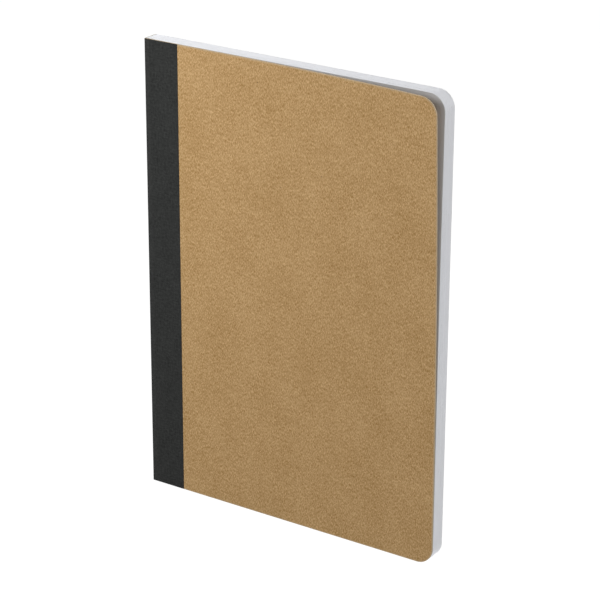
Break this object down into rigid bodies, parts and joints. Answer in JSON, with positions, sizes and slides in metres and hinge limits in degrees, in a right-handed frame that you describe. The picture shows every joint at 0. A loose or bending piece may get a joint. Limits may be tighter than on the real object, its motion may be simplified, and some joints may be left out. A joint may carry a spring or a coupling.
{
  "type": "pocket notebook",
  "caption": "Slim softcover pocket notebook with kraft card covers, a black cloth-tape spine, rounded fore-edge corners and sewn paper sections; both covers and the middle open.",
  "frame": {"origin": "centre of the bounding box at its base: the notebook stands on its tail edge", "axes": "+X from the spine to the fore edge, +Y from the front cover to the back cover, +Z from the tail up to the head"},
  "size_m": [0.105, 0.0106, 0.148],
  "materials": {
    "kraft_card": "matte",
    "book_tape": "matte",
    "lining_paper": "matte",
    "endpaper": "matte",
    "page_paper": "matte",
    "linen_thread": "matte",
    "spine_glue": "satin"
  },
  "bodies": {
    "rear_half": {"rear_flyleaf": "endpaper", "rear_spine_glue": "spine_glue", "rear_spine_tape": "book_tape", "section_5_sheet_1": "page_paper", "section_5_sheet_2": "page_paper", "section_5_sheet_3": "page_paper", "section_6_sheet_1": "page_paper", "section_6_sheet_2": "page_paper", "section_6_sheet_3": "page_paper", "section_7_sheet_1": "page_paper", "section_7_sheet_2": "page_paper", "section_7_sheet_3": "page_paper", "section_8_sheet_1": "page_paper", "section_8_sheet_2": "page_paper", "section_8_sheet_3": "page_paper", "section_5_thread": "linen_thread", "section_6_thread": "linen_thread", "section_7_thread": "linen_thread", "section_8_thread": "linen_thread"},
    "front_half": {"front_flyleaf": "endpaper", "front_spine_glue": "spine_glue", "front_spine_tape": "book_tape", "section_1_sheet_1": "page_paper", "section_1_sheet_2": "page_paper", "section_1_sheet_3": "page_paper", "section_2_sheet_1": "page_paper", "section_2_sheet_2": "page_paper", "section_2_sheet_3": "page_paper", "section_3_sheet_1": "page_paper", "section_3_sheet_2": "page_paper", "section_3_sheet_3": "page_paper", "section_4_sheet_1": "page_paper", "section_4_sheet_2": "page_paper", "section_4_sheet_3": "page_paper", "section_1_thread": "linen_thread", "section_2_thread": "linen_thread", "section_3_thread": "linen_thread", "section_4_thread": "linen_thread"},
    "front_board": {"front_cover": "kraft_card", "front_pastedown": "lining_paper", "front_tape_lap": "book_tape"},
    "back_board": {"back_cover": "kraft_card", "rear_pastedown": "lining_paper", "rear_tape_lap": "book_tape"}
  },
  "joints": [
    {"name": "middle_opening", "type": "hinge", "parent": "rear_half", "child": "front_half", "pos_m": [-0.0525, 0.00208, 0], "axis": [0, 0, -1], "range_deg": [0, 180]},
    {"name": "front_cover_hinge", "type": "hinge", "parent": "front_half", "child": "front_board", "pos_m": [-0.0525, -0.00117, 0], "axis": [0, 0, -1], "range_deg": [0, 175]},
    {"name": "back_cover_hinge", "type": "hinge", "parent": "rear_half", "child": "back_board", "pos_m": [-0.0525, 0.00533, 0], "axis": [0, 0, 1], "range_deg": [0, 175]}
  ]
}
